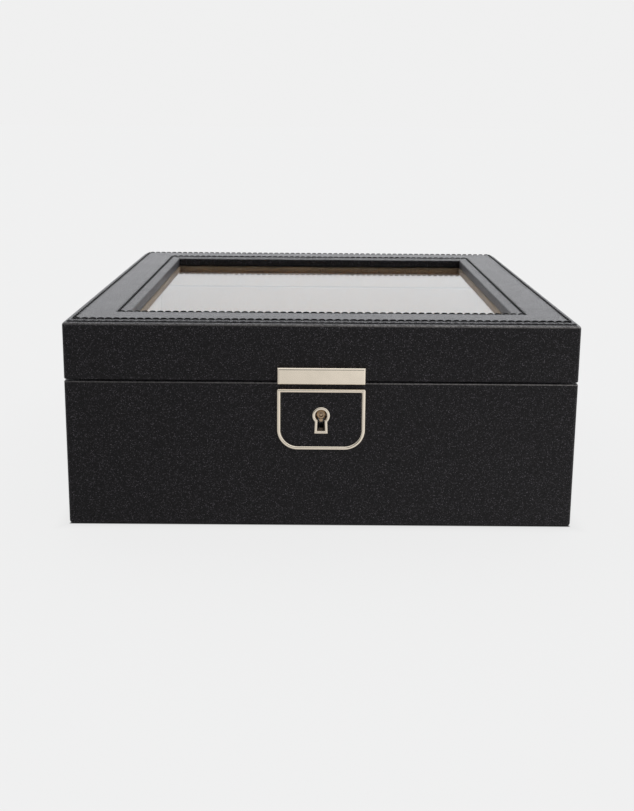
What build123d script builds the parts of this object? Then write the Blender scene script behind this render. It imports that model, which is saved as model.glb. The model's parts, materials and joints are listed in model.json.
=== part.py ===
"""Lockable glasses organizer: a leather-wrapped box with a glazed lid and three lined bays.

Frame: +X to the right, +Y to the back, +Z up. The origin is the centre of the bounding box's
underside. The lock is on the front (-Y) and the two stop hinges are on the back (+Y).
The fibreboard carcass, its leather wrap and the velour lining are separate pieces, and so
is each piece of the lock and of the hinges. All sizes are in millimetres.
"""

from build123d import *

import os
from math import cos, radians, tan

# ---------------------------------------------------------------- driving dimensions
WIDTH = 200.0            # outside, left to right, over the leather
LENGTH = 205.0           # outside, front to back, over the leather
SEAM_Z = 59.0            # height of the joint between base and lid
TOP_Z = 82.8             # highest point of the padded top
SEAM_GAP = 0.5           # daylight between the two rims
SKIN = 0.8               # leather
EDGE_R = 1.3             # outer edges of the wrapped boxes
RIM_R = 0.6              # edges of the two rims
SHOULDER_R = 1.2         # upper edge of the lid's leather
FOOT_R = 1.0             # lowest edge of the leather

BASE_BOARD = 8.0         # wall boards of the base
LID_BOARD = 7.5          # wall boards of the lid
FLOOR_BOARD = 4.0
LINING = 1.2             # velour on card
FELT = 0.25
FELT_INSET = 0.8         # outer face to the edge of the felt
FELT_R = 3.0             # corners of the felt
TURN_IN = 12.0           # leather folded under the floor and glued down
COLLAR = 3.4             # base lining standing above the rim, which locates the lid
COLLAR_CLEAR = 0.6       # collar to the lining of the lid

PAD = 3.0
DIVIDERS = 2
DIVIDER_T = 4.0
DIVIDER_H = 38.0
CROWN_R = 1.8            # rounded top of a divider

WINDOW_BORDER = 22.7     # outer face to the finished edge of the window
GLASS_DROP = 4.8         # padded top down to the glass
GLASS_T = 2.2
GLASS_PLAY = 0.7         # glass to the lid's walls
BEAD_T = 3.0             # strip that holds the glass up
BEAD_LAP = 0.8           # how far the bead shows inside the window
FRAME_T = 3.0            # top boards, between the glass and the leather
PANEL_INSET = 1.6        # outer face to the edge of the padded top panel
PANEL_R = 0.9            # its upper edges

PLATE_W = 34.6           # lock plate, a D with its straight side up
PLATE_H = 24.6
PLATE_TOP = 2.6          # below the seam
PLATE_BACK = 0.7
PLATE_PROUD = 1.5
PLATE_RIM = 1.5
PLATE_EDGE = 0.7
PLATE_R_LOW = 8.2
PLATE_R_TOP = 0.8
INLAY = 0.4
KEY_DROP = 13.3          # seam to the keyhole's centre
KEYHOLE_R = 2.3
SLOT_TOP_W = 2.4
SLOT_LOW_W = 3.0
SLOT_DROP = 6.1          # keyhole's centre to the foot of its slot
KEYHOLE_RIM = 1.2
TRIM_PROUD = 1.5
TRIM_EDGE = 0.5

BAR_W = 34.4             # clasp bar on the lid
BAR_ABOVE = 6.0          # above and below the seam
BAR_BELOW = 0.8
BAR_PROUD = 2.0
BAR_EDGE = 0.9
BAR_CLEAR = 0.45         # bar to the face of the base

CASE_W = 36.0            # lock case, let into the front board
CASE_H = 24.0
CASE_D = 6.0
CASE_WALL = 0.8
SELVAGE_W = 44.0
SELVAGE_T = 1.0
STUD_X = 12.0            # studs behind the lock plate and the clasp bar
STUD_R = 1.2
BAR_STUD_L = 5.0
POST_R = 1.9             # post that the barrel of the key goes over
POST_SUNK = 0.3          # its end below the front face
POST_ROUND = 0.9
RING_R = 0.95            # ring sunk in its end, round a small nib
RING_D = 0.9
NIB_R = 0.5
WARD_W = 1.9             # fixed ward under the post, narrower at its foot
WARD_FOOT_W = 1.2
WARD_DROP = 3.0
WARD_SUNK = 1.3

STAPLE_X = 7.0           # the two staples, each side of the middle
STAPLE_T = 1.6           # along X
STAPLE_W = 3.6           # along Y
STAPLE_DROP = 6.3
STAPLE_WIRE = 0.8
STAPLE_CLEAR = 0.4
HASP_W = 32.0
HASP_D = 5.0
BOLT_TRAVEL = 3.5
BOLT_GAP = 0.3           # finger to staple when unlocked
FINGER_L = 3.6
FINGER_T = 1.1
FINGER_H = 1.6
STEM_W = 2.0
BAR_T = 2.0              # the bolt's bar
BAR_H = 2.6
BAR_DROP = 7.1           # seam to the top of the bolt's bar
SPRING_T = 0.3

HINGE_X = 60.0           # the two hinges, each side of the middle
HINGE_W = 34.0
KNUCKLES = 5
KNUCKLE_GAP = 0.3
BARREL_R = 2.0
PIN_R = 1.0
AXIS_OUT = 0.3           # hinge axis behind the back face
LEAF_T = 0.8
HEEL_R = 3.3             # the two heels meet and stop the lid
HEEL_CLEAR = 0.2         # heel to the barrel
OPEN_ANGLE = 95.0
HEEL_SLACK = 0.5         # degrees left between a heel and the middle when they meet
RUNNING = 0.05           # radial clearance of the moving knuckles on their pin

FIT = 0.05               # hole radius over its screw or stud
SCREW_R = 0.8
SCREW_HEAD_R = 1.6
SCREW_L = 6.0
SCREW_SLOT = 0.4

# ---------------------------------------------------------------- worked-out places
HEEL_ANGLE = OPEN_ANGLE / 2 + HEEL_SLACK
BACK_PROUD = AXIS_OUT + HEEL_R * cos(radians(HEEL_ANGLE))
FRONT = -(LENGTH + BACK_PROUD - BAR_PROUD) / 2     # front face, outside the leather
BACK = FRONT + LENGTH
SIDE = WIDTH / 2

RIM_LOW = SEAM_Z - SEAM_GAP / 2                    # top of the base's rim
RIM_HIGH = SEAM_Z + SEAM_GAP / 2                   # underside of the lid's rim
FLOOR_LOW = FELT + SKIN
FLOOR_TOP = FLOOR_LOW + FLOOR_BOARD
PAD_TOP = FLOOR_TOP + PAD
WALL_TOP = RIM_LOW - SKIN
BASE_IN = SKIN + BASE_BOARD                        # outer face to the board's inner face
BAY_IN = BASE_IN + LINING
COLLAR_Z = SEAM_Z + COLLAR

LID_FOOT = RIM_HIGH + SKIN
LID_IN = SKIN + LID_BOARD
GLASS_TOP = TOP_Z - GLASS_DROP
GLASS_LOW = GLASS_TOP - GLASS_T
BEAD_LOW = GLASS_LOW - BEAD_T
FRAME_TOP = GLASS_TOP + FRAME_T
WRAP_TOP = FRAME_TOP + SKIN
WINDOW_IN = WINDOW_BORDER - SKIN                   # outer face to the opening in the top boards

AXIS_Y = BACK + AXIS_OUT
AXIS_Z = SEAM_Z
LEAF_REACH = AXIS_OUT + LID_IN                     # hinge axis to the leaf's far edge
SCREW_ROW_Y = AXIS_Y - LEAF_REACH * 0.62
SCREW_SHIFT = HINGE_W * 0.32                       # screws each side of a hinge's middle
KEY_Z = SEAM_Z - KEY_DROP
CASE_FRONT = FRONT + BASE_IN - CASE_D
CASE_BACK = FRONT + BASE_IN
CASE_LOW = RIM_LOW - CASE_H
CASE_TOP = RIM_LOW - SELVAGE_T
LOCK_MID = CASE_FRONT + CASE_D / 2
SELVAGE_SCREW_X = (SELVAGE_W + CASE_W) / 4
HASP_SCREW_X = 13.0
BAR_STUD_Z = SEAM_Z + BAR_ABOVE / 2
STAPLE_LOW = RIM_HIGH - STAPLE_DROP
BOLT_TOP = SEAM_Z - BAR_DROP
BOLT_LOW = BOLT_TOP - BAR_H

os.makedirs("parts", exist_ok=True)


# ---------------------------------------------------------------- helpers
def block(x, y, z, mode=Mode.ADD):
    """A box between the low and high limits given for each axis."""
    with Locations(((x[0] + x[1]) / 2, (y[0] + y[1]) / 2, (z[0] + z[1]) / 2)):
        Box(x[1] - x[0], y[1] - y[0], z[1] - z[0], mode=mode)


def inset_block(inset, z, mode=Mode.ADD):
    """A box that keeps the same distance from all four outer faces."""
    block((-SIDE + inset, SIDE - inset), (FRONT + inset, BACK - inset), z, mode)


def rod(radius, low, high, mode=Mode.ADD):
    """A cylinder round the hinge axis, from x = low to x = high."""
    with Locations(((low + high) / 2, AXIS_Y, AXIS_Z)):
        Cylinder(radius, high - low, rotation=(0, 90, 0), mode=mode)


def peg(x, z, radius, low, high, mode=Mode.ADD):
    """A cylinder along Y at (x, z), from y = low to y = high."""
    with Locations((x, (low + high) / 2, z)):
        Cylinder(radius, high - low, rotation=(90, 0, 0), mode=mode)


def write(part, label):
    """Label a finished piece and save it as its own STEP file."""
    part.label = label
    export_step(part, f"parts/{label}.step")


def wall_limits(name, inset, thick):
    """X and Y limits of one wall, which starts `inset` in from the outer faces.

    The side walls run the full length and the front and back walls fit between them.
    """
    low, high = inset, inset + thick
    return {
        "left": ((-SIDE + low, -SIDE + high), (FRONT + low, BACK - low)),
        "right": ((SIDE - high, SIDE - low), (FRONT + low, BACK - low)),
        "front": ((-SIDE + high, SIDE - high), (FRONT + low, FRONT + high)),
        "back": ((-SIDE + high, SIDE - high), (BACK - high, BACK - low)),
    }[name]


def head_cones(points, surface, up, grow=0.0, mode=Mode.ADD):
    """Countersunk heads that lie flush in `surface` and face up (1) or down (-1)."""
    narrow, wide = SCREW_R + grow, SCREW_HEAD_R + grow
    low_r, high_r = (narrow, wide) if up > 0 else (wide, narrow)
    for x, y in points:
        with Locations((x, y, surface - up * LEAF_T / 2)):
            Cone(low_r, high_r, LEAF_T, mode=mode)


def screws(points, surface, up):
    """Slotted countersunk screws, their heads flush in `surface`."""
    head_cones(points, surface, up)
    for x, y in points:
        with Locations((x, y, surface - up * (LEAF_T + SCREW_L) / 2)):
            Cylinder(SCREW_R, SCREW_L - LEAF_T)
        with Locations((x, y, surface)):
            Box(SCREW_HEAD_R * 2.2, SCREW_SLOT, SCREW_SLOT, mode=Mode.SUBTRACT)


def screw_holes(points, surface, up):
    """Clearance bores of the same screws, from `surface` to their tips."""
    length = SCREW_L + FIT
    for x, y in points:
        with Locations((x, y, surface - up * length / 2)):
            Cylinder(SCREW_R + FIT, length, mode=Mode.SUBTRACT)


def hinge_relief():
    """Cut room for both hinge barrels and heels in a back wall or its leather."""
    reach = HINGE_W / 2 + FIT
    for side in (-1, 1):
        rod_low = side * HINGE_X - reach
        rod(HEEL_R + FIT, rod_low, rod_low + 2 * reach, Mode.SUBTRACT)


def leaf_room(low, high):
    """Cut the seats of both hinge leaves out of a rim's leather."""
    reach = HINGE_W / 2 + FIT
    for side in (-1, 1):
        block((side * HINGE_X - reach, side * HINGE_X + reach),
              (AXIS_Y - LEAF_REACH - FIT, BACK + 1), (low, high), Mode.SUBTRACT)


def front_at(y):
    """The plane parallel to the front face at depth y, centred on the keyhole."""
    return Plane(origin=(0, y, KEY_Z), x_dir=(1, 0, 0), z_dir=(0, -1, 0))


def keyhole_outline(grow=0.0, mode=Mode.ADD):
    """Draw the keyhole, grown by `grow` all round, in the current sketch."""
    foot = -SLOT_DROP - grow
    Circle(KEYHOLE_R + grow, mode=mode)
    Polygon((-SLOT_TOP_W / 2 - grow, 0), (SLOT_TOP_W / 2 + grow, 0),
            (SLOT_LOW_W / 2 + grow, foot), (-SLOT_LOW_W / 2 - grow, foot),
            align=None, mode=mode)


def plate_outline(sketch, inset=0.0):
    """Draw the D of the lock plate, inset all round, in the given sketch."""
    with Locations((0, KEY_DROP - PLATE_TOP - PLATE_H / 2)):
        Rectangle(PLATE_W - 2 * inset, PLATE_H - 2 * inset)
    rows = sketch.vertices().group_by(Axis.Y)
    fillet(rows[0], PLATE_R_LOW - inset)
    fillet(sketch.vertices().group_by(Axis.Y)[-1], max(PLATE_R_TOP - inset, 0.3))


WALLS = ("front", "back", "left", "right")
SIDES = (("left", -1), ("right", 1))
hinge_screw_points = [
    (side * HINGE_X + shift, SCREW_ROW_Y)
    for side in (-1, 1)
    for shift in (-SCREW_SHIFT, SCREW_SHIFT)
]
selvage_screw_points = [(-SELVAGE_SCREW_X, LOCK_MID), (SELVAGE_SCREW_X, LOCK_MID)]
hasp_screw_points = [(-HASP_SCREW_X, LOCK_MID), (HASP_SCREW_X, LOCK_MID)]

# ================================================================ BASE
# ---------------------------------------------------------------- carcass boards
with BuildPart() as base_floor_board:
    inset_block(SKIN, (FLOOR_LOW, FLOOR_TOP))
write(base_floor_board.part, "base_floor_board")

for wall in WALLS:
    with BuildPart() as base_board:
        block(*wall_limits(wall, SKIN, BASE_BOARD), (FLOOR_TOP, WALL_TOP))
        if wall == "back":
            hinge_relief()
            screw_holes(hinge_screw_points, RIM_LOW, 1)
        if wall == "front":
            # mortise for the lock case, seat for its selvage, keyhole and stud holes
            block((-CASE_W / 2, CASE_W / 2), (CASE_FRONT, CASE_BACK),
                  (CASE_LOW, WALL_TOP), Mode.SUBTRACT)
            block((-SELVAGE_W / 2, SELVAGE_W / 2), (CASE_FRONT, CASE_BACK),
                  (CASE_TOP, WALL_TOP), Mode.SUBTRACT)
            screw_holes(selvage_screw_points, RIM_LOW, 1)
            with BuildSketch(front_at(CASE_FRONT)):
                keyhole_outline(KEYHOLE_RIM)
            extrude(amount=BASE_BOARD, mode=Mode.SUBTRACT)
            for side in (-1, 1):
                peg(side * STUD_X, KEY_Z, STUD_R + FIT, FRONT, CASE_FRONT, Mode.SUBTRACT)
    write(base_board.part, f"base_{wall}_board")

# ---------------------------------------------------------------- leather and felt outside
with BuildPart() as base_wrap:
    inset_block(0, (FELT, RIM_LOW))
    fillet(base_wrap.edges().filter_by(Axis.Z), EDGE_R)
    fillet(base_wrap.faces().sort_by(Axis.Z)[0].edges(), FOOT_R)
    fillet(base_wrap.faces().sort_by(Axis.Z)[-1].edges(), RIM_R)
    inset_block(SKIN, (FLOOR_LOW, WALL_TOP), Mode.SUBTRACT)
    inset_block(TURN_IN, (0, FLOOR_TOP), Mode.SUBTRACT)
    inset_block(BASE_IN, (WALL_TOP - 1, SEAM_Z), Mode.SUBTRACT)
    leaf_room(WALL_TOP, SEAM_Z)
    hinge_relief()
    block((-SELVAGE_W / 2, SELVAGE_W / 2), (CASE_FRONT, CASE_BACK + 1),
          (WALL_TOP, SEAM_Z), Mode.SUBTRACT)
    with BuildSketch(front_at(FRONT + SKIN)):
        keyhole_outline(KEYHOLE_RIM)
    extrude(amount=2 * SKIN, mode=Mode.SUBTRACT)
    for side in (-1, 1):
        peg(side * STUD_X, KEY_Z, STUD_R + FIT, FRONT - 1, FRONT + SKIN, Mode.SUBTRACT)
write(base_wrap.part, "base_wrap")

with BuildPart() as bottom_infill:
    inset_block(TURN_IN, (FELT, FLOOR_LOW))
write(bottom_infill.part, "bottom_infill")

with BuildPart() as bottom_felt:
    inset_block(FELT_INSET, (0, FELT))
    fillet(bottom_felt.edges().filter_by(Axis.Z), FELT_R)
write(bottom_felt.part, "bottom_felt")

# ---------------------------------------------------------------- lining, pad and dividers
for wall in WALLS:
    with BuildPart() as base_lining:
        block(*wall_limits(wall, BASE_IN, LINING), (FLOOR_TOP, COLLAR_Z))
    write(base_lining.part, f"base_{wall}_lining")

with BuildPart() as floor_pad:
    inset_block(BAY_IN, (FLOOR_TOP, PAD_TOP))
write(floor_pad.part, "floor_pad")

bay = (LENGTH - 2 * BAY_IN - DIVIDERS * DIVIDER_T) / (DIVIDERS + 1)
for number, name in enumerate(("front", "rear")):
    y_low = FRONT + BAY_IN + (number + 1) * bay + number * DIVIDER_T
    with BuildPart() as divider:
        block((-SIDE + BAY_IN, SIDE - BAY_IN), (y_low, y_low + DIVIDER_T),
              (PAD_TOP, PAD_TOP + DIVIDER_H))
        crown = divider.faces().sort_by(Axis.Z)[-1]
        fillet(crown.edges().filter_by(Axis.X), CROWN_R)
    write(divider.part, f"{name}_divider")

# ---------------------------------------------------------------- lock plate on the front
with BuildPart() as lock_plate:
    with BuildSketch(front_at(FRONT)) as plate_sketch:
        plate_outline(plate_sketch)
        keyhole_outline(KEYHOLE_RIM, Mode.SUBTRACT)
    extrude(amount=PLATE_BACK)
    with BuildSketch(front_at(FRONT - PLATE_BACK)) as rim_sketch:
        plate_outline(rim_sketch)
        offset(amount=-PLATE_RIM, mode=Mode.SUBTRACT)
    extrude(amount=PLATE_PROUD - PLATE_BACK)
    fillet(lock_plate.faces().sort_by(Axis.Y)[0].edges(), PLATE_EDGE)
write(lock_plate.part, "lock_plate")

with BuildPart() as plate_inlay:
    with BuildSketch(front_at(FRONT - PLATE_BACK)) as inlay_sketch:
        plate_outline(inlay_sketch, PLATE_RIM + FIT)
        keyhole_outline(KEYHOLE_RIM, Mode.SUBTRACT)
    extrude(amount=INLAY)
write(plate_inlay.part, "plate_inlay")

with BuildPart() as keyhole_trim:
    with BuildSketch(front_at(CASE_FRONT)):
        keyhole_outline(KEYHOLE_RIM)
        keyhole_outline(0, Mode.SUBTRACT)
    extrude(amount=CASE_FRONT - FRONT + TRIM_PROUD)
    fillet(keyhole_trim.faces().sort_by(Axis.Y)[0].edges(), TRIM_EDGE)
write(keyhole_trim.part, "keyhole_trim")

with BuildPart() as plate_studs:
    for side in (-1, 1):
        peg(side * STUD_X, KEY_Z, STUD_R, FRONT, CASE_FRONT)
write(plate_studs.part, "plate_studs")

# ---------------------------------------------------------------- lock works in the front board
with BuildPart() as lock_case:
    block((-CASE_W / 2, CASE_W / 2), (CASE_FRONT, CASE_BACK - CASE_WALL), (CASE_LOW, CASE_TOP))
    block((-CASE_W / 2 + CASE_WALL, CASE_W / 2 - CASE_WALL),
          (CASE_FRONT + CASE_WALL, CASE_BACK), (CASE_LOW + CASE_WALL, SEAM_Z), Mode.SUBTRACT)
    with BuildSketch(front_at(CASE_BACK)):
        keyhole_outline()
    extrude(amount=CASE_D, mode=Mode.SUBTRACT)
write(lock_case.part, "lock_case")

with BuildPart() as lock_cover:
    block((-CASE_W / 2, CASE_W / 2), (CASE_BACK - CASE_WALL, CASE_BACK), (CASE_LOW, CASE_TOP))
write(lock_cover.part, "lock_cover")

with BuildPart() as lock_selvage:
    block((-SELVAGE_W / 2, SELVAGE_W / 2), (CASE_FRONT, CASE_BACK), (CASE_TOP, RIM_LOW))
    for side in (-1, 1):
        with Locations((side * STAPLE_X, LOCK_MID, RIM_LOW)):
            Box(STAPLE_T + 2 * STAPLE_CLEAR, STAPLE_W + 2 * STAPLE_CLEAR, 4 * SELVAGE_T,
                mode=Mode.SUBTRACT)
    head_cones(selvage_screw_points, RIM_LOW, 1, FIT, Mode.SUBTRACT)
    screw_holes(selvage_screw_points, RIM_LOW, 1)
write(lock_selvage.part, "lock_selvage")

with BuildPart() as selvage_screws:
    screws(selvage_screw_points, RIM_LOW, 1)
write(selvage_screws.part, "selvage_screws")

with BuildPart() as key_post:
    post_end = FRONT + POST_SUNK
    peg(0, KEY_Z, POST_R, post_end, CASE_BACK - CASE_WALL)
    fillet(key_post.faces().sort_by(Axis.Y)[0].edges(), POST_ROUND)
    peg(0, KEY_Z, RING_R, post_end - FIT, post_end + RING_D, Mode.SUBTRACT)
    peg(0, KEY_Z, NIB_R, post_end, post_end + RING_D)
    with BuildSketch(front_at(CASE_BACK - CASE_WALL)):
        Polygon((-WARD_W / 2, 0), (WARD_W / 2, 0), (WARD_FOOT_W / 2, -WARD_DROP),
                (-WARD_FOOT_W / 2, -WARD_DROP), align=None)
    extrude(amount=CASE_BACK - CASE_WALL - FRONT - WARD_SUNK)
write(key_post.part, "key_post")

with BuildPart() as bolt_spring:
    arch_r = BOLT_LOW - FIT - CASE_LOW - CASE_WALL
    foot_plane = Plane(origin=(0, LOCK_MID - BAR_T / 2, CASE_LOW + CASE_WALL),
                       x_dir=(1, 0, 0), z_dir=(0, -1, 0))
    with BuildSketch(foot_plane):
        Circle(arch_r - BOLT_GAP)
        Circle(arch_r - BOLT_GAP - SPRING_T, mode=Mode.SUBTRACT)
        with Locations((0, -arch_r)):
            Rectangle(3 * arch_r, 2 * arch_r, mode=Mode.SUBTRACT)
    extrude(amount=-BAR_T)
write(bolt_spring.part, "bolt_spring")

with BuildPart() as lock_bolt:
    tips = [side * STAPLE_X - STAPLE_T / 2 - BOLT_GAP for side in (-1, 1)]
    bar_start = tips[0] - FINGER_L - STEM_W
    block((bar_start, STAPLE_X), (LOCK_MID - BAR_T / 2, LOCK_MID + BAR_T / 2),
          (BOLT_LOW, BOLT_TOP))
    for tip in tips:
        finger_y = (LOCK_MID - FINGER_T / 2, LOCK_MID + FINGER_T / 2)
        finger_low = STAPLE_LOW + STAPLE_WIRE + STAPLE_CLEAR
        block((tip - FINGER_L - STEM_W, tip - FINGER_L), finger_y,
              (BOLT_TOP - BAR_H / 2, finger_low + FINGER_H))
        block((tip - FINGER_L - STEM_W, tip), finger_y, (finger_low, finger_low + FINGER_H))
    # notch that the key's bit pushes against
    block((-STEM_W, STEM_W), (LOCK_MID - BAR_T, LOCK_MID + BAR_T),
          (BOLT_LOW - 1, BOLT_LOW + BAR_H / 2), Mode.SUBTRACT)
write(lock_bolt.part, "lock_bolt")

# ================================================================ LID
for wall in WALLS:
    with BuildPart() as lid_board:
        block(*wall_limits(wall, SKIN, LID_BOARD), (LID_FOOT, GLASS_TOP))
        if wall == "back":
            hinge_relief()
            screw_holes(hinge_screw_points, RIM_HIGH, -1)
        if wall == "front":
            screw_holes(hasp_screw_points, RIM_HIGH, -1)
            for side in (-1, 1):
                peg(side * STUD_X, BAR_STUD_Z, STUD_R + FIT, FRONT, FRONT + BAR_STUD_L,
                    Mode.SUBTRACT)
    write(lid_board.part, f"lid_{wall}_board")

for wall in WALLS:
    with BuildPart() as top_board:
        block(*wall_limits(wall, SKIN, WINDOW_IN - SKIN), (GLASS_TOP, FRAME_TOP))
    write(top_board.part, f"top_{wall}_board")

with BuildPart() as lid_wrap:
    inset_block(0, (RIM_HIGH, WRAP_TOP))
    fillet(lid_wrap.edges().filter_by(Axis.Z), EDGE_R)
    fillet(lid_wrap.faces().sort_by(Axis.Z)[-1].edges(), SHOULDER_R)
    fillet(lid_wrap.faces().sort_by(Axis.Z)[0].edges(), RIM_R)
    inset_block(SKIN, (LID_FOOT, FRAME_TOP), Mode.SUBTRACT)
    inset_block(LID_IN, (SEAM_Z, LID_FOOT + 1), Mode.SUBTRACT)
    inset_block(WINDOW_IN, (FRAME_TOP - 1, TOP_Z), Mode.SUBTRACT)
    leaf_room(SEAM_Z, LID_FOOT)
    hinge_relief()
    block((-HASP_W / 2, HASP_W / 2), (LOCK_MID - HASP_D / 2, LOCK_MID + HASP_D),
          (SEAM_Z, LID_FOOT), Mode.SUBTRACT)
    for side in (-1, 1):
        peg(side * STUD_X, BAR_STUD_Z, STUD_R + FIT, FRONT - 1, FRONT + SKIN, Mode.SUBTRACT)
write(lid_wrap.part, "lid_wrap")

with BuildPart() as top_panel:
    inset_block(PANEL_INSET, (WRAP_TOP, TOP_Z))
    inset_block(WINDOW_BORDER, (WRAP_TOP - 1, TOP_Z + 1), Mode.SUBTRACT)
    fillet(top_panel.faces().sort_by(Axis.Z)[-1].edges(), PANEL_R)
    inset_block(WINDOW_IN, (GLASS_TOP, WRAP_TOP))
    inset_block(WINDOW_BORDER, (GLASS_TOP - 1, TOP_Z + 1), Mode.SUBTRACT)
write(top_panel.part, "top_panel")

with BuildPart() as glass_pane:
    inset_block(LID_IN + GLASS_PLAY, (GLASS_LOW, GLASS_TOP))
write(glass_pane.part, "glass_pane")

for wall in WALLS:
    with BuildPart() as bead:
        block(*wall_limits(wall, LID_IN, WINDOW_BORDER + BEAD_LAP - LID_IN),
              (BEAD_LOW, GLASS_LOW))
    write(bead.part, f"glass_bead_{wall}")
    with BuildPart() as lid_lining:
        block(*wall_limits(wall, LID_IN, LINING), (COLLAR_Z + COLLAR_CLEAR, BEAD_LOW))
    write(lid_lining.part, f"lid_{wall}_lining")

# ---------------------------------------------------------------- clasp bar and hasp
with BuildPart() as clasp_bar:
    block((-BAR_W / 2, BAR_W / 2), (FRONT - BAR_PROUD, FRONT),
          (SEAM_Z - BAR_BELOW, SEAM_Z + BAR_ABOVE))
    fillet(clasp_bar.faces().sort_by(Axis.Y)[0].edges(), BAR_EDGE)
    block((-BAR_W, BAR_W), (FRONT - BAR_CLEAR, FRONT + 1),
          (SEAM_Z - BAR_ABOVE, RIM_HIGH + BAR_CLEAR), Mode.SUBTRACT)
write(clasp_bar.part, "clasp_bar")

with BuildPart() as bar_studs:
    for side in (-1, 1):
        peg(side * STUD_X, BAR_STUD_Z, STUD_R, FRONT, FRONT + BAR_STUD_L)
write(bar_studs.part, "bar_studs")

with BuildPart() as hasp_plate:
    block((-HASP_W / 2, HASP_W / 2), (LOCK_MID - HASP_D / 2, LOCK_MID + HASP_D / 2),
          (RIM_HIGH, LID_FOOT))
    for side in (-1, 1):
        x_span = (side * STAPLE_X - STAPLE_T / 2, side * STAPLE_X + STAPLE_T / 2)
        block(x_span, (LOCK_MID - STAPLE_W / 2, LOCK_MID + STAPLE_W / 2),
              (STAPLE_LOW, RIM_HIGH))
        eye = STAPLE_W / 2 - STAPLE_WIRE
        block(x_span, (LOCK_MID - eye, LOCK_MID + eye),
              (STAPLE_LOW + STAPLE_WIRE, RIM_HIGH - STAPLE_WIRE), Mode.SUBTRACT)
    head_cones(hasp_screw_points, RIM_HIGH, -1, FIT, Mode.SUBTRACT)
    screw_holes(hasp_screw_points, RIM_HIGH, -1)
write(hasp_plate.part, "hasp_plate")

with BuildPart() as hasp_screws:
    screws(hasp_screw_points, RIM_HIGH, -1)
write(hasp_screws.part, "hasp_screws")

# ================================================================ HINGES
pitch = HINGE_W / KNUCKLES
# one leaf below the seam and one above: name, direction of the heel, first knuckle, bore, surface
leaves = (
    ("base", -1, 0, PIN_R, RIM_LOW),
    ("lid", 1, 1, PIN_R + RUNNING, RIM_HIGH),
)
for side_name, side in SIDES:
    middle = side * HINGE_X
    start = middle - HINGE_W / 2
    hinge_span = (start, start + HINGE_W)
    for owner, way, first, bore, surface in leaves:
        seat_z = sorted((surface, surface + way * LEAF_T))
        with BuildPart() as leaf:
            # the heel wraps the barrel from the leaf round to the stop face
            stop_plane = Plane(origin=(start, AXIS_Y, AXIS_Z), x_dir=(0, 1, 0), z_dir=(1, 0, 0))
            with BuildSketch(stop_plane):
                Circle(HEEL_R)
                Circle(BARREL_R + HEEL_CLEAR, mode=Mode.SUBTRACT)
                with Locations((0, -way * (HEEL_R - SEAM_GAP / 2))):
                    Rectangle(3 * HEEL_R, 2 * HEEL_R, mode=Mode.SUBTRACT)
                far = 2 * HEEL_R
                stop_z = way * far * tan(radians(HEEL_ANGLE))
                Polygon((0, 0), (far, 0), (far, stop_z), align=None, mode=Mode.SUBTRACT)
            extrude(amount=HINGE_W)
            block(hinge_span, (AXIS_Y - LEAF_REACH, AXIS_Y - BARREL_R - HEEL_CLEAR), seat_z)
            for number in range(first, KNUCKLES, 2):
                low = start + number * pitch + KNUCKLE_GAP / 2
                high = low + pitch - KNUCKLE_GAP
                rod(BARREL_R, low, high)
                block((low, high), (AXIS_Y - BARREL_R - 1, AXIS_Y), seat_z)
                rod(bore, low - 1, high + 1, Mode.SUBTRACT)
            points = [(middle + shift, SCREW_ROW_Y) for shift in (-SCREW_SHIFT, SCREW_SHIFT)]
            head_cones(points, surface, -way, FIT, Mode.SUBTRACT)
            screw_holes(points, surface, -way)
        write(leaf.part, f"{side_name}_hinge_{owner}_leaf")
    with BuildPart() as hinge_pin:
        rod(PIN_R, start, start + HINGE_W)
    write(hinge_pin.part, f"{side_name}_hinge_pin")

for owner, way, first, bore, surface in leaves:
    with BuildPart() as leaf_screws:
        screws(hinge_screw_points, surface, -way)
    write(leaf_screws.part, f"{owner}_hinge_screws")
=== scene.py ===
"""Looks of the lockable glasses organizer: leather, stitches, velour, glass and metal.

Everything is in metres in the CAD frame: +X right, +Y to the hinges, +Z up, lock on -Y.
"""

import json
from math import cos, exp, pi, radians, sin

import bpy
import numpy as np
from mathutils import Matrix, Vector, noise


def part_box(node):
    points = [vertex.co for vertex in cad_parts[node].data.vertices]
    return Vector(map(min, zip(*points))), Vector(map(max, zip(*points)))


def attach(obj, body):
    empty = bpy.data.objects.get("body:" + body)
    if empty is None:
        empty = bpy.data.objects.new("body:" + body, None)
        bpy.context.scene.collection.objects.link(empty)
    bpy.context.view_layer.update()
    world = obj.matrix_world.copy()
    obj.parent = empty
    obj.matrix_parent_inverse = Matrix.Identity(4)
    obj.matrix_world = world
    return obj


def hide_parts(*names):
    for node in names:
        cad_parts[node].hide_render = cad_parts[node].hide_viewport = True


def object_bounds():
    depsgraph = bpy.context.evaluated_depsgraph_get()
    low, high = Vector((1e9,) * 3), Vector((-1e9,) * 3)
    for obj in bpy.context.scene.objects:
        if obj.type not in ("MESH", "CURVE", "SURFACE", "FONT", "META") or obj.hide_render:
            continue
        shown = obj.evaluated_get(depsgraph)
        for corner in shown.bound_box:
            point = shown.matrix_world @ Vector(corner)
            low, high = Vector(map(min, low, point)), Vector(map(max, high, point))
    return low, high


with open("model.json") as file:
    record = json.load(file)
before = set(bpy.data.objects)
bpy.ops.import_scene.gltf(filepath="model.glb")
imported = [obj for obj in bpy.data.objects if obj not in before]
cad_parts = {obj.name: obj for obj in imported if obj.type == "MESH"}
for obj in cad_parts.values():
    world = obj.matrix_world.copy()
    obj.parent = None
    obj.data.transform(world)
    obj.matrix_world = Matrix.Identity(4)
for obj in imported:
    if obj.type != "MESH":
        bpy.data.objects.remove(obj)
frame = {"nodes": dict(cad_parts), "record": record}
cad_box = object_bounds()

MM = 0.001
NODES = frame["nodes"]
RECORD_SLOTS = {row["node"]: row["material_slot"] for row in frame["record"]["subparts"]}

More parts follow.
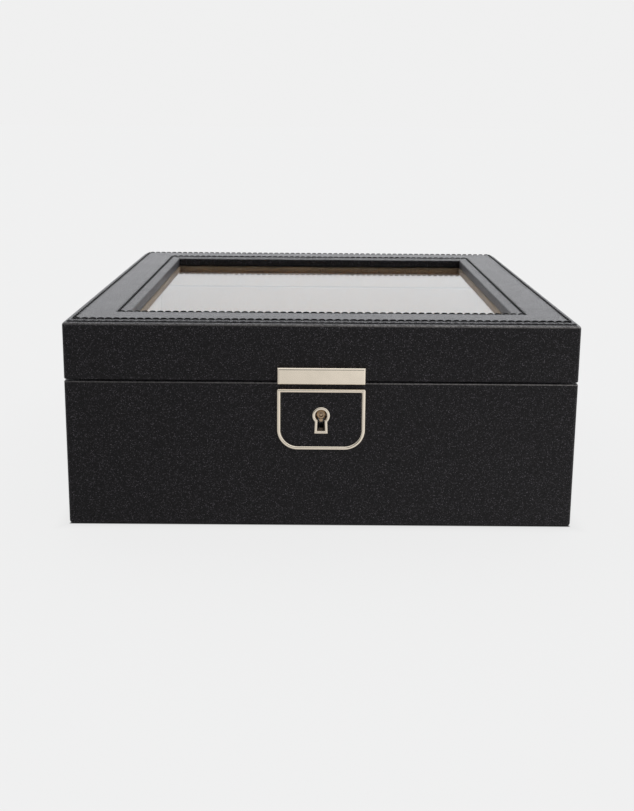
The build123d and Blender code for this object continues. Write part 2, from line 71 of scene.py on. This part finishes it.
# ---------------------------------------------------------------- places read from the frame
wrap_low, wrap_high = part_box("lid_wrap")
panel_low, panel_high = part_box("top_panel")
board_low, board_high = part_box("top_front_board")
glass_low, glass_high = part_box("glass_pane")
FRONT_Y = wrap_low.y
BACK_Y = wrap_high.y
HALF_X = wrap_high.x
MID_Y = (FRONT_Y + BACK_Y) / 2
HALF_Y = (BACK_Y - FRONT_Y) / 2
SKIN = board_low.y - wrap_low.y                    # leather thickness
WINDOW = board_high.y + SKIN - FRONT_Y             # outer face to the edge of the window
RIM_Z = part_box("base_wrap")[1].z                   # upper rim of the base

# ---------------------------------------------------------------- stitching
PITCH = 3.07 * MM
OUTER_ROW = 3.7 * MM                               # rows, measured in from the outer face
INNER_ROW = 18.5 * MM
STITCH_L = 2.60 * MM
STITCH_R = 0.40 * MM
STITCH_SLANT = radians(9)
GROOVE_W = 0.75 * MM
GROOVE_D = 0.22 * MM
HOLE_D = 0.42 * MM
ROW_LIFT = 0.12 * MM                               # padding swollen along the seams
OUTER_PUCKER = 0.34 * MM                           # leather swelling between two holes
INNER_PUCKER = 0.18 * MM
STITCH_RISE = 0.30 * MM                            # thread standing over its groove
GROOVE_REACH = 5.0                                 # no relief past this many groove widths
STEPS_PER_STITCH = 8                               # stations of the panel's mesh
STITCH_RINGS = 9                                   # rings of one stitch's mesh
STITCH_SIDES = 8

# ---------------------------------------------------------------- padded top panel
SURFACE_DROP = 0.12 * MM                           # the panel's box down to its plain leather
EDGE_SHARE = 0.36                                  # height of its outer edge, share of the full
ROLL_FROM, ROLL_W = 1.6 * MM, 2.6 * MM             # where the edge rolls up to the full height
CROWN = 0.12 * MM                                  # more height between the two rows
WINDOW_FALL = 0.80                                 # fall towards the window, share of the full
WINDOW_R = 0.7 * MM                                # its edge at the window
WAVINESS = 0.10 * MM
FINE, COARSE = 0.24 * MM, 0.8 * MM                 # steps of its mesh, near a row and between
FINE_REACH = 2.4 * MM                              # from a row to the last fine step


# ================================================================ mesh helpers
def make_object(name, verts, faces, material):
    """A mesh object from plain lists of points and faces."""
    mesh = bpy.data.meshes.new(name)
    mesh.from_pydata([tuple(v) for v in verts], [], [tuple(int(i) for i in f) for f in faces])
    mesh.update()
    for polygon in mesh.polygons:
        polygon.use_smooth = True
    mesh.materials.append(material)
    obj = bpy.data.objects.new(name, mesh)
    bpy.context.scene.collection.objects.link(obj)
    return obj


def piece(obj, body, replaced=()):
    """Hang a new piece on the body it rides on, and hide the CAD nodes it stands for."""
    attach(obj, body)
    if replaced:
        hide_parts(*replaced)
    return obj


def ring_faces(rings, points):
    """Quads of a closed loop of closed rings."""
    faces = []
    for i in range(rings):
        j = (i + 1) % rings
        for k in range(points):
            m = (k + 1) % points
            faces.append((i * points + k, j * points + k, j * points + m, i * points + m))
    return faces


def smooth01(value):
    """Smooth step from 0 to 1."""
    value = min(max(value, 0.0), 1.0)
    return value * value * (3 - 2 * value)


def side_point(side, along, inset):
    """Point of a rectangle inset in from the outer faces; along runs 0..1 on one side."""
    half_x, half_y = HALF_X - inset, HALF_Y - inset
    run = 2 * along - 1
    x, y = ((run * half_x, -half_y), (half_x, run * half_y),
            (-run * half_x, half_y), (-half_x, -run * half_y))[side]
    return x, MID_Y + y


def distance_along(side, x, y, inset):
    """How far a point lies along its side, from the corner of the row at that inset."""
    run = (x, y - MID_Y, -x, MID_Y - y)[side]
    half = (HALF_X, HALF_Y, HALF_X, HALF_Y)[side] - inset
    return run + half, 2 * half


# ================================================================ node trees
class Wiring:
    """Shorthand calls for the nodes of one tree."""

    def __init__(self, tree):
        self.tree = tree

    def link(self, start, end):
        self.tree.links.new(start, end)

    def new(self, kind):
        return self.tree.nodes.new("ShaderNode" + kind)

    def fill(self, sockets, values):
        """Give each socket its number, its colour or the output that feeds it."""
        for socket, value in zip(sockets, values):
            if isinstance(value, (int, float)):
                socket.default_value = value
            elif isinstance(value, tuple):
                socket.default_value = (*value, 1)
            else:
                self.link(value, socket)

    def math(self, operation, first, second):
        node = self.new("Math")
        node.operation = operation
        self.fill(node.inputs, (first, second))
        return node.outputs["Value"]

    def ranged(self, value, low, high, to_low=0.0, to_high=1.0, smooth=False):
        """Map low..high to to_low..to_high, and hold the ends."""
        node = self.new("MapRange")
        if smooth:
            node.interpolation_type = "SMOOTHSTEP"
        labels = ("Value", "From Min", "From Max", "To Min", "To Max")
        self.fill([node.inputs[label] for label in labels], (value, low, high, to_low, to_high))
        return node.outputs["Result"]

    def blend(self, factor, first, second):
        """Mix two colours, each a tuple or an output."""
        node = self.new("Mix")
        node.data_type = "RGBA"
        self.fill((node.inputs[0], node.inputs[6], node.inputs[7]), (factor, first, second))
        return node.outputs[2]

    def parts(self, vector):
        """The X, Y and Z of a vector."""
        node = self.new("SeparateXYZ")
        self.link(vector, node.inputs[0])
        return node.outputs

    def past_footprint(self, x, y):
        """How far a point lies outside the box's outline, less than 0 inside it."""
        out_x = self.math("SUBTRACT", self.math("ABSOLUTE", x, 0.0), HALF_X)
        off_y = self.math("ABSOLUTE", self.math("SUBTRACT", y, MID_Y), 0.0)
        return self.math("MAXIMUM", out_x, self.math("SUBTRACT", off_y, HALF_Y))

    def hidden_from_camera(self):
        """1 for every ray but the camera's own, and 0 for those."""
        return self.math("SUBTRACT", 1.0, self.new("LightPath").outputs["Is Camera Ray"])


class Shader(Wiring):
    """A Principled material with a few shorthand calls for its texture nodes."""

    def __init__(self, name, colour, roughness, **sockets):
        self.material = bpy.data.materials.new(name)
        self.material.use_nodes = True
        super().__init__(self.material.node_tree)
        self.bsdf = self.tree.nodes["Principled BSDF"]
        self.bsdf.inputs["Base Color"].default_value = (*colour, 1)
        self.bsdf.inputs["Roughness"].default_value = roughness
        for label, value in sockets.items():
            self.bsdf.inputs[label.replace("_", " ")].default_value = value
        self.place = self.new("TexCoord").outputs["Object"]
        self.last_normal = None

    def stretched(self, scale):
        node = self.new("Mapping")
        node.inputs["Scale"].default_value = scale
        self.link(self.place, node.inputs["Vector"])
        return node.outputs["Vector"]

    def noise(self, scale, detail=3.0, rough=0.55, vector=None, distortion=0.0):
        node = self.new("TexNoise")
        node.inputs["Scale"].default_value = scale
        node.inputs["Detail"].default_value = detail
        node.inputs["Roughness"].default_value = rough
        node.inputs["Distortion"].default_value = distortion
        self.link(vector or self.place, node.inputs["Vector"])
        return node.outputs["Fac"]

    def cells(self, scale):
        node = self.new("TexVoronoi")
        node.feature = "SMOOTH_F1"
        node.inputs["Scale"].default_value = scale
        self.link(self.place, node.inputs["Vector"])
        return node.outputs["Distance"]

    def painted_glints(self, scale):
        """Painted glints: small bright dots in the colour, one in each cell and each of its own
        strength.
        """
        node = self.new("TexVoronoi")
        node.inputs["Scale"].default_value = scale
        self.link(self.place, node.inputs["Vector"])
        split = self.new("SeparateColor")
        self.link(node.outputs["Color"], split.inputs["Color"])
        strength = self.math("POWER", split.outputs[0], GLINT_RARITY)
        dot = self.ranged(node.outputs["Distance"], 0.20, 0.50, 1.0, 0.0)
        return self.math("MULTIPLY", strength, dot)

    def painted_edge_highlight(self, high, depth, most):
        """Share of painted highlight on an outer edge, from high down to depth below it."""
        x, y, z = self.parts(self.place)
        middle = high - HIGHLIGHT_PEAK * depth
        below = self.ranged(z, high - depth, middle)
        above = self.ranged(z, middle, high, 1.0, 0.0)
        outside = self.ranged(self.past_footprint(x, y), -HIGHLIGHT_ZONE, 0.5 * MM - HIGHLIGHT_ZONE)
        patchy = self.ranged(self.noise(1100, 3.0, 0.7), 0.35, 0.65, 0.3, 1.0)
        # the painted highlight is brighter to the right, where more light falls
        brighter_to_right = self.ranged(x, HIGHLIGHT_LEFT, HIGHLIGHT_RIGHT, HIGHLIGHT_LEAST * most, most)
        band = self.math("MULTIPLY", self.math("MULTIPLY", below, above), outside)
        return self.math("MULTIPLY", band, self.math("MULTIPLY", patchy, brighter_to_right))

    def bump(self, height, strength, distance):
        node = self.new("Bump")
        node.inputs["Strength"].default_value = strength
        node.inputs["Distance"].default_value = distance
        self.link(height, node.inputs["Height"])
        if self.last_normal is not None:
            self.link(self.last_normal, node.inputs["Normal"])
        self.last_normal = node.outputs["Normal"]
        for label in ("Normal", "Coat Normal"):
            self.link(self.last_normal, self.bsdf.inputs[label])

    def colour(self, socket):
        self.link(socket, self.bsdf.inputs["Base Color"])

    def roughness(self, socket):
        self.link(socket, self.bsdf.inputs["Roughness"])


# ================================================================ materials
GLINT_RARITY = 6.0                        # the higher, the fewer painted glints on the grain tips
PAINTED_EDGE_HIGHLIGHT = (0.34, 0.32, 0.31)                 # painted highlight on outer edges, the light caught by their rounding
RIM_HIGHLIGHT = 0.58 * MM                      # height of the painted highlight band on the base's rim
RIM_HIGHLIGHT_DROP = 0.10 * MM                 # the rim down to that band
SHOULDER_HIGHLIGHT = 1.15 * MM                 # height of the painted highlight band on the lid's upper edge
SHOULDER_SHARE = 0.80                     # how strong it is
HIGHLIGHT_PEAK = 0.45                          # where a painted highlight band is palest, share of its height
HIGHLIGHT_ZONE = 3.0 * MM                      # the painted highlight only this close to an outer face
HIGHLIGHT_LEFT, HIGHLIGHT_RIGHT = -60 * MM, 40 * MM  # the painted highlight grows from left to right, as the light does
HIGHLIGHT_LEAST = 0.45                         # and is this strong at the left


def leather(name, dark, light, grain, spec):
    """Fine matt leather: tiny pebbles, painted glints on the grain tips, a painted highlight on
    its outer edges and a soft sheen.
    """
    look = Shader(name, dark, 0.5, Specular_IOR_Level=spec, Sheen_Weight=0.105,
                  Sheen_Roughness=0.35, Coat_Weight=0.41, Coat_Roughness=0.38)
    look.bsdf.inputs["Sheen Tint"].default_value = (0.95, 0.93, 1.0, 1)
    pebbles = look.noise(grain, 2.0, 0.7)
    height = look.math("ADD", pebbles, look.math("MULTIPLY", look.cells(grain * 0.55), 0.5))
    # painted glints on the grain tips; shade adds them to the grain's own tone
    glint_dots = look.math("ADD", look.painted_glints(grain * 1.30), look.painted_glints(grain * 0.90))
    shade = look.math("ADD", glint_dots, look.ranged(pebbles, 0.35, 0.75, 0.0, 0.05))
    # painted highlight on the base's rim and the lid's upper edge, where their rounding catches
    # the light
    painted_highlight = look.math("ADD", look.painted_edge_highlight(RIM_Z - RIM_HIGHLIGHT_DROP, RIM_HIGHLIGHT, 1.0),
                     look.painted_edge_highlight(wrap_high.z, SHOULDER_HIGHLIGHT, SHOULDER_SHARE))
    look.colour(look.blend(painted_highlight, look.blend(shade, dark, light), PAINTED_EDGE_HIGHLIGHT))
    look.roughness(look.ranged(look.noise(160, 4.0), 0.3, 0.7, 0.42, 0.54))
    look.bump(height, 0.9, 0.00030)
    look.bump(look.noise(grain * 0.36, 1.0), 0.6, 0.00060)
    look.bump(look.noise(70, 2.0), 0.06, 0.0006)
    return look.material


def velour(name, deep, bright):
    """Short pile: soft sheen, brushed patches and a fine fibrous surface."""
    look = Shader(name, deep, 0.92, Sheen_Weight=0.5, Sheen_Roughness=0.45,
                  Specular_IOR_Level=0.15)
    look.bsdf.inputs["Sheen Tint"].default_value = (0.9, 0.72, 0.55, 1)
    brushed = look.ranged(look.noise(24, 2.0, 0.5), 0.35, 0.7)
    fibres = look.ranged(look.noise(1700, 3.0, 0.8), 0.3, 0.7)
    mix = look.math("ADD", look.math("MULTIPLY", brushed, 0.22),
                    look.math("MULTIPLY", fibres, 0.78))
    look.colour(look.blend(mix, deep, bright))
    look.bump(fibres, 0.6, 0.00035)
    look.bump(brushed, 0.15, 0.0006)
    return look.material


def plated(name, colour, rough_low, rough_high):
    """Polished plating with faint directional polishing marks and a few smudges."""
    look = Shader(name, colour, rough_low, Metallic=1.0)
    marks = look.noise(1.0, 3.0, 0.6, look.stretched((60, 1800, 2600)))
    smudges = look.noise(120, 3.0)
    look.roughness(look.ranged(look.math("ADD", look.math("MULTIPLY", marks, 0.5),
                                         look.math("MULTIPLY", smudges, 0.5)),
                               0.3, 0.7, rough_low, rough_high))
    look.colour(look.blend(look.ranged(smudges, 0.35, 0.75),
                           colour, tuple(c * 0.93 for c in colour)))
    look.bump(marks, 0.05, 0.00008)
    return look.material


def steel(name):
    """Plain cold-rolled steel with a long grain."""
    look = Shader(name, (0.42, 0.42, 0.43), 0.35, Metallic=1.0)
    grain = look.noise(1.0, 4.0, 0.6, look.stretched((90, 2200, 2200)))
    look.roughness(look.ranged(grain, 0.3, 0.7, 0.28, 0.5))
    look.colour(look.blend(grain, (0.34, 0.34, 0.36), (0.52, 0.52, 0.52)))
    look.bump(grain, 0.1, 0.0001)
    return look.material


def fibreboard(name, deep, bright):
    """Raw pressed board with short fibres."""
    look = Shader(name, deep, 0.85)
    fibres = look.noise(1.0, 5.0, 0.7, look.stretched((300, 900, 1500)))
    blots = look.noise(70, 3.0)
    look.colour(look.blend(look.math("MULTIPLY", look.math("ADD", fibres, blots), 0.5),
                           deep, bright))
    look.bump(fibres, 0.3, 0.0003)
    return look.material


def felt(name):
    """Black felt with matted fibres."""
    look = Shader(name, (0.02, 0.02, 0.021), 0.95, Sheen_Weight=0.35, Sheen_Roughness=0.6)
    fibres = look.noise(900, 6.0, 0.75, distortion=1.5)
    look.colour(look.blend(look.ranged(fibres, 0.35, 0.7), (0.010, 0.010, 0.011),
                           (0.045, 0.045, 0.047)))
    look.bump(fibres, 0.8, 0.0004)
    return look.material


def thread(name):
    """Waxed black thread, twisted."""
    look = Shader(name, (0.003, 0.003, 0.003), 0.6, Specular_IOR_Level=0.08)
    wave = look.new("TexWave")
    wave.bands_direction = "DIAGONAL"
    wave.inputs["Scale"].default_value = 900
    wave.inputs["Distortion"].default_value = 1.0
    look.link(look.place, wave.inputs["Vector"])
    look.colour(look.blend(wave.outputs["Fac"], (0.0015, 0.0015, 0.0018), (0.006, 0.006, 0.0065)))
    look.bump(wave.outputs["Fac"], 0.6, 0.0001)
    return look.material


def clear_glass(name):
    """Flat clear glass, with the faintest haze from handling."""
    look = Shader(name, (0.93, 0.965, 0.975), 0.0, IOR=1.52)
    look.bsdf.inputs["Transmission Weight"].default_value = 1.0
    look.roughness(look.ranged(look.noise(25, 4.0), 0.45, 0.8, 0.0, 0.03))
    return look.material


# the second colour is that of the painted glints; the grain's own tone goes only a twentieth of
# the way to it
LEATHER = leather("black_leather", (0.0016, 0.0011, 0.0016), (0.138, 0.125, 0.142), 2500, 0.03)
MATERIALS = {
    "black_leather": LEATHER,
    "velour": velour("tan_velour", (0.62, 0.42, 0.26), (0.90, 0.66, 0.44)),
    "felt": felt("black_felt"),
    "card": fibreboard("grey_card", (0.16, 0.15, 0.13), (0.26, 0.24, 0.21)),
    "fibreboard": fibreboard("raw_fibreboard", (0.30, 0.19, 0.11), (0.52, 0.37, 0.24)),
    "pale_gold": plated("pale_gold_plate", (0.965, 0.86, 0.715), 0.10, 0.20),
    "brass": plated("raw_brass", (0.50, 0.37, 0.25), 0.28, 0.45),
    "steel": steel("lock_steel"),
    "glass": clear_glass("clear_glass"),
}
THREAD = thread("black_thread")


def dress_frame():
    """Give every CAD node the material of its slot."""
    for name, obj in NODES.items():
        obj.data.materials.clear()
        obj.data.materials.append(MATERIALS[RECORD_SLOTS[name]])


# ================================================================ stitched top panel
def hole_depth(side, x, y, inset):
    """Depth of the stitch grooves and holes at a point of the top leather."""
    depth = 0.0
    for row, pucker in ((OUTER_ROW, OUTER_PUCKER), (INNER_ROW, INNER_PUCKER)):
        away = (inset - row) / GROOVE_W
        if abs(away) > GROOVE_REACH:
            continue
        along, length = distance_along(side, x, y, row)
        count = round(length / PITCH)
        phase = along / length * count
        at_hole = 0.5 + 0.5 * cos(2 * pi * phase)
        bell = exp(-away * away)
        wide = exp(-away * away / 5.0)
        depth += bell * (GROOVE_D + HOLE_D * at_hole ** 1.5)
        depth -= pucker * wide * (1 - at_hole) * (1 - 0.6 * bell)
    return depth


def panel_height(inset):
    """Height of the padded leather above the wrap's top, without its stitches."""
    full = panel_high.z - SURFACE_DROP + ROW_LIFT - wrap_high.z
    roll = smooth01((inset - ROLL_FROM) / ROLL_W + 0.10)
    rise = full * (EDGE_SHARE + (1 - EDGE_SHARE) * roll)
    crown = CROWN * sin(pi * min(max((inset - OUTER_ROW) / (INNER_ROW - OUTER_ROW), 0), 1))
    fall = WINDOW_FALL * full * smooth01((inset - INNER_ROW) / (WINDOW - INNER_ROW - 0.2 * MM))
    return rise + crown - fall


def panel_profile():
    """Closed cross-section of the top leather: (inset, height, share of the stitch relief)."""
    top = wrap_high.z
    start = panel_low.y - FRONT_Y
    points = [(start + 0.4 * MM, top + 0.01 * MM, 0), (start + 0.08 * MM, top + 0.05 * MM, 0),
              (start, top + 0.15 * MM, 0), (start + 0.05 * MM, top + 0.26 * MM, 0)]
    insets = list(np.arange(start + 0.2 * MM, OUTER_ROW + FINE_REACH, FINE))
    insets += list(np.arange(OUTER_ROW + FINE_REACH + 0.3 * MM, INNER_ROW - FINE_REACH, COARSE))
    insets += list(np.arange(INNER_ROW - FINE_REACH + 0.1 * MM, WINDOW - 0.75 * MM, FINE))
    points += [(a, top + panel_height(a), 1) for a in insets]
    edge_z = top + panel_height(WINDOW - WINDOW_R) - WINDOW_R
    for angle in (20, 40, 60, 80):
        points.append((WINDOW - WINDOW_R + WINDOW_R * sin(radians(angle)),
                       edge_z + WINDOW_R * cos(radians(angle)), 0.3))
    foot = glass_high.z + 0.02 * MM
    points += [(WINDOW, edge_z + (foot - edge_z) * share, 0) for share in (0.1, 0.4, 0.7, 1.0)]
    inside = WINDOW - SKIN
    points += [(inside, foot, 0), (inside, top + 0.01 * MM, 0)]
    return points


def top_leather():
    """The padded leather frame of the lid, with its grooves and puckers."""
    profile = panel_profile()
    verts = []
    rings = 0
    for side in range(4):
        length = distance_along(side, 0, MID_Y, OUTER_ROW)[1]
        stations = round(length / PITCH) * STEPS_PER_STITCH
        rings += stations
        for station in range(stations):
            share = station / stations
            for inset, z, relief in profile:
                x, y = side_point(side, share, inset)
                lift = 0.0
                if relief:
                    lift = -relief * hole_depth(side, x, y, inset)
                    lift += WAVINESS * noise.noise(Vector((x, y, 0)) * 60)
                verts.append((x, y, z + lift))
    faces = ring_faces(rings, len(profile))
    obj = make_object("top_leather", verts, faces, LEATHER)
    piece(obj, "lid", ["top_panel"])


def stitch_row(name, row):
    """One row of slanted saddle stitches, each a short tapered capsule sunk at its ends."""
    rings, around = STITCH_RINGS, STITCH_SIDES
    base_z = wrap_high.z + panel_height(row) - GROOVE_D * 0.75
    verts, faces = [], []
    for side in range(4):
        length = distance_along(side, 0, MID_Y, row)[1]
        count = round(length / PITCH)
        ahead = Vector(((1, 0, 0), (0, 1, 0), (-1, 0, 0), (0, -1, 0))[side])
        across = Vector((-ahead.y, ahead.x, 0))
        for number in range(count):
            x, y = side_point(side, (number + 0.5) / count, row)
            wobble = noise.noise(Vector((number * 1.7, side * 9.1, row * 400)))
            slant = STITCH_SLANT * (1 + 0.5 * wobble)
            run = ahead * cos(slant) + across * sin(slant)
            flank = Vector((-run.y, run.x, 0))
            first = len(verts)
            for ring in range(rings):
                t = ring / (rings - 1)
                lift = sin(pi * t)
                radius = STITCH_R * (0.45 + 0.55 * lift ** 0.35)
                middle = Vector((x, y, base_z)) + run * (t - 0.5) * STITCH_L
                middle.z += STITCH_RISE * lift ** 0.3 + 0.03 * MM * wobble
                for k in range(around):
                    angle = 2 * pi * k / around
                    offset = flank * cos(angle) + Vector((0, 0, 1)) * sin(angle) * 0.85
                    verts.append(middle + offset * radius)
            for ring in range(rings - 1):
                for k in range(around):
                    a = first + ring * around + k
                    b = first + ring * around + (k + 1) % around
                    faces.append((a, b, b + around, a + around))
            faces.append(tuple(first + k for k in reversed(range(around))))
            last = first + (rings - 1) * around
            faces.append(tuple(last + k for k in range(around)))
    piece(make_object(name, verts, faces, THREAD), "lid")


# ================================================================ velour pieces
def axis_steps(low, high, radius, step):
    """Grid values along one axis: close together in the rounded ends, even between."""
    bend = [radius * (1 - cos(pi / 2 * k / 4)) for k in range(5)]
    middle = max(int((high - low - 2 * radius) / step), 1)
    inner = [low + radius + (high - low - 2 * radius) * k / middle for k in range(1, middle)]
    return [low + b for b in bend] + inner + [high - b for b in reversed(bend)]


def soft_box(name, low, high, radius, material, shape=None, step=4 * MM):
    """A board or pad with rounded edges on a fine grid, which shape(point, normal) may move."""
    axes = [axis_steps(low[i], high[i], radius, step) for i in range(3)]
    index, verts, faces = {}, [], []

    def vertex(i, j, k):
        key = (i, j, k)
        if key not in index:
            point = Vector((axes[0][i], axes[1][j], axes[2][k]))
            core = Vector([min(max(point[n], low[n] + radius), high[n] - radius)
                           for n in range(3)])
            away = point - core
            normal = away.normalized()
            place = core + normal * radius
            if shape:
                place = place + shape(place, normal)
            index[key] = len(verts)
            verts.append(place)
        return index[key]

    sizes = [len(a) - 1 for a in axes]
    for axis in range(3):
        u, v = (axis + 1) % 3, (axis + 2) % 3
        for end in (0, sizes[axis]):
            for i in range(sizes[u]):
                for j in range(sizes[v]):
                    corners = []
                    for di, dj in ((0, 0), (1, 0), (1, 1), (0, 1)):
                        key = [0, 0, 0]
                        key[axis], key[u], key[v] = end, i + di, j + dj
                        corners.append(vertex(*key))
                    faces.append(corners if end else corners[::-1])
    return make_object(name, verts, faces, material)


def rippled(amount, scale):
    """A shape that gives cloth glued on card its slight unevenness."""
    def shape(place, normal):
        return normal * (noise.noise(place * scale) - 0.5) * amount
    return shape


def velour_board(node, body, radius, amount=0.12 * MM):
    """Replace one plain velour board by a rounded, slightly uneven one."""
    low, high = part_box(node)
    obj = soft_box(node + "_velour", low, high, radius, MATERIALS["velour"],
                   rippled(amount, 70))
    return piece(obj, body, [node])


def interior():
    """Linings, beads, dividers and the floor pad."""
    for wall in ("front", "back", "left", "right"):
        velour_board(f"base_{wall}_lining", "base", 0.5 * MM)
        velour_board(f"lid_{wall}_lining", "lid", 0.5 * MM)
        velour_board(f"glass_bead_{wall}", "lid", 1.0 * MM)
    for name in ("front", "rear"):
        velour_board(f"{name}_divider", "base", 1.9 * MM, 0.25 * MM)
    floor_pad()


def floor_pad():
    """The pad under the glasses: crowned in each bay and pressed flat under the dividers."""
    low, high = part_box("floor_pad")
    edges = [low.y]
    for name in ("front", "rear"):
        divider_low, divider_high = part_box(f"{name}_divider")
        edges += [divider_low.y, divider_high.y]
    edges.append(high.y)
    bays = list(zip(edges[::2], edges[1::2]))
    sink = 0.9 * MM

    def shape(place, normal):
        if normal.z < 0.5:
            return Vector((0, 0, 0))
        bay = next(((a, b) for a, b in bays if a <= place.y <= b), None)
        if bay is None:
            return Vector((0, 0, -0.02 * MM))
        along = sin(pi * (place.y - bay[0]) / (bay[1] - bay[0])) ** 0.35
        across = sin(pi * (place.x - low.x) / (high.x - low.x)) ** 0.25
        puff = 1 - max(along, 0) * max(across, 0)
        return Vector((0, 0, -sink * puff + 0.25 * MM * noise.noise(place * 45)))

    obj = soft_box("floor_pad_velour", low, high, 0.9 * MM, MATERIALS["velour"], shape, 2 * MM)
    piece(obj, "base", ["floor_pad"])


def underside():
    """Felt sheet under the box."""
    low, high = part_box("bottom_felt")
    obj = soft_box("bottom_felt_sheet", low, high, 0.45 * (high.z - low.z), MATERIALS["felt"],
                   rippled(0.03 * MM, 90))
    piece(obj, "base", ["bottom_felt"])


# ================================================================ stage, light and camera
STUDIO = 0.87                        # radiance of the white surroundings
LOW_BOOST = 0.17                     # extra radiance of the wall behind the object
SKY_BOOST = 3.1                      # more, higher up, from the large soft box over it
SKY_TINT = (0.965, 0.982, 1.0)       # the light that falls on the object is slightly cool
DARK_FRONT = 0.86                    # radiance missing from the room behind the camera
SIDE_TILT = 0.30                     # the right is a little brighter than the left
FLOOR_HALF = 12.0                    # half the width of the floor
FLOOR_GAP = 0.02 * MM                # the floor lies this far under the box
FLOOR_WHITE = (0.028, 0.028, 0.028)  # what the floor scatters
FLOOR_GLOW = 0.820                   # radiance of the floor itself
CONTACT_REACH = 7 * MM               # painted contact shadow: the floor is a little darker this close to the box
CONTACT_SHADE = 0.93                 # share of the glow left right beside it, in that painted shadow
SHADED_LEFT = 0.38                   # share of the glow that a flag keeps off the box, at its left
SHADED_RIGHT = 0.05                  # and at its right


def studio_sky():
    """White surroundings, brighter above and behind and darker in front of the object."""
    world = bpy.data.worlds.new("studio")
    bpy.context.scene.world = world
    world.use_nodes = True
    sky = Wiring(world.node_tree)
    x, y, z = sky.parts(sky.new("TexCoord").outputs["Generated"])
    low = sky.ranged(z, 0.02, 0.10, 0.0, LOW_BOOST, smooth=True)
    high = sky.ranged(z, 0.22, 0.42, 0.0, SKY_BOOST, smooth=True)
    behind = sky.ranged(y, -0.2, 0.6, smooth=True)
    boost = sky.math("MULTIPLY", sky.math("ADD", low, high), behind)
    level = sky.ranged(z, 0.10, 0.75, 1.0, 0.0, smooth=True)
    before = sky.ranged(y, -0.35, -0.85, smooth=True)
    shade = sky.math("MULTIPLY", sky.math("MULTIPLY", level, before), -DARK_FRONT)
    tilt = sky.math("MULTIPLY", x, SIDE_TILT)
    unseen = sky.hidden_from_camera()
    extra = sky.math("ADD", sky.math("ADD", boost, shade), tilt)
    strength = sky.math("ADD", sky.math("MULTIPLY", extra, unseen), STUDIO)
    background = sky.tree.nodes["Background"]
    sky.link(strength, background.inputs["Strength"])
    sky.link(sky.blend(unseen, (1.0, 1.0, 1.0), SKY_TINT), background.inputs["Color"])


def floor_glow(pale):
    """Strength of the floor's glow: off under the box and dimmed beside it as painted shadow, and
    less of it reaches the box.
    """
    x, y, _ = pale.parts(pale.new("TexCoord").outputs["Object"])
    outside = pale.past_footprint(x, y)
    # painted shadow under the box: no glow there
    lit = pale.ranged(outside, -0.7 * MM, 0.3 * MM, 0.0, FLOOR_GLOW, smooth=True)
    # painted contact shadow: a little less glow right beside the box
    painted_contact_shadow = pale.ranged(outside, -2.0 * MM, CONTACT_REACH, CONTACT_SHADE, 1.0, smooth=True)
    flag = pale.ranged(x, -HALF_X, HALF_X, SHADED_LEFT, SHADED_RIGHT)
    kept = pale.math("SUBTRACT", 1.0, pale.math("MULTIPLY", pale.hidden_from_camera(), flag))
    return pale.math("MULTIPLY", pale.math("MULTIPLY", lit, painted_contact_shadow), kept)


def studio_floor():
    """A pale floor that is as white as the background."""
    side = FLOOR_HALF
    mesh = bpy.data.meshes.new("floor")
    mesh.from_pydata([(-side, -side, 0), (side, -side, 0), (side, side, 0), (-side, side, 0)],
                     [], [(0, 1, 2, 3)])
    floor = bpy.data.objects.new("floor", mesh)
    floor.location.z = cad_box[0][2] - FLOOR_GAP
    bpy.context.scene.collection.objects.link(floor)
    material = bpy.data.materials.new("pale_floor")
    material.use_nodes = True
    pale = Wiring(material.node_tree)
    pale.tree.nodes.clear()
    glow = pale.new("Emission")
    pale.link(floor_glow(pale), glow.inputs["Strength"])
    matte = pale.new("BsdfDiffuse")
    pale.fill((matte.inputs["Color"],), (FLOOR_WHITE,))
    both = pale.new("AddShader")
    pale.fill(both.inputs, (glow.outputs[0], matte.outputs[0]))
    pale.link(both.outputs[0], pale.new("OutputMaterial").inputs["Surface"])
    mesh.materials.append(material)


LENS = 47.18619                      # in millimetres, on a sensor 36 mm high
SENSOR = 36
LENS_SHIFT = -0.0913687              # moves the horizon up, as in a cropped picture
AIM = {"yaw": -0.2495, "pitch": 11.592, "roll": 0.48}
PLACE = (-3.62 * MM, FRONT_Y - 400.16 * MM, 161.08 * MM)


def camera():
    """The camera in front of the lock, a little above the lid."""
    yaw, pitch, roll = (radians(AIM[turn]) for turn in ("yaw", "pitch", "roll"))
    start = Matrix(((1, 0, 0), (0, 0, -1), (0, 1, 0)))
    turn = Matrix(((cos(yaw), 0, sin(yaw)), (0, 1, 0), (-sin(yaw), 0, cos(yaw))))
    tilt = Matrix(((1, 0, 0), (0, cos(pitch), -sin(pitch)), (0, sin(pitch), cos(pitch))))
    lean = Matrix(((cos(roll), -sin(roll), 0), (sin(roll), cos(roll), 0), (0, 0, 1)))
    right, down, forward = lean @ tilt @ turn @ start
    axes = Matrix((right, -down, -forward)).transposed().to_4x4()
    data = bpy.data.cameras.new("camera")
    data.sensor_width = SENSOR
    data.lens = LENS
    data.shift_y = LENS_SHIFT
    data.clip_start = 0.01
    data.clip_end = 100
    obj = bpy.data.objects.new("camera", data)
    obj.matrix_world = Matrix.Translation(PLACE) @ axes
    bpy.context.scene.collection.objects.link(obj)
    bpy.context.scene.camera = obj


# ================================================================ the whole object
bpy.context.scene.view_settings.view_transform = "Standard"
camera()
studio_sky()
studio_floor()
dress_frame()
top_leather()
stitch_row("outer_stitches", OUTER_ROW)
stitch_row("inner_stitches", INNER_ROW)
interior()
underside()
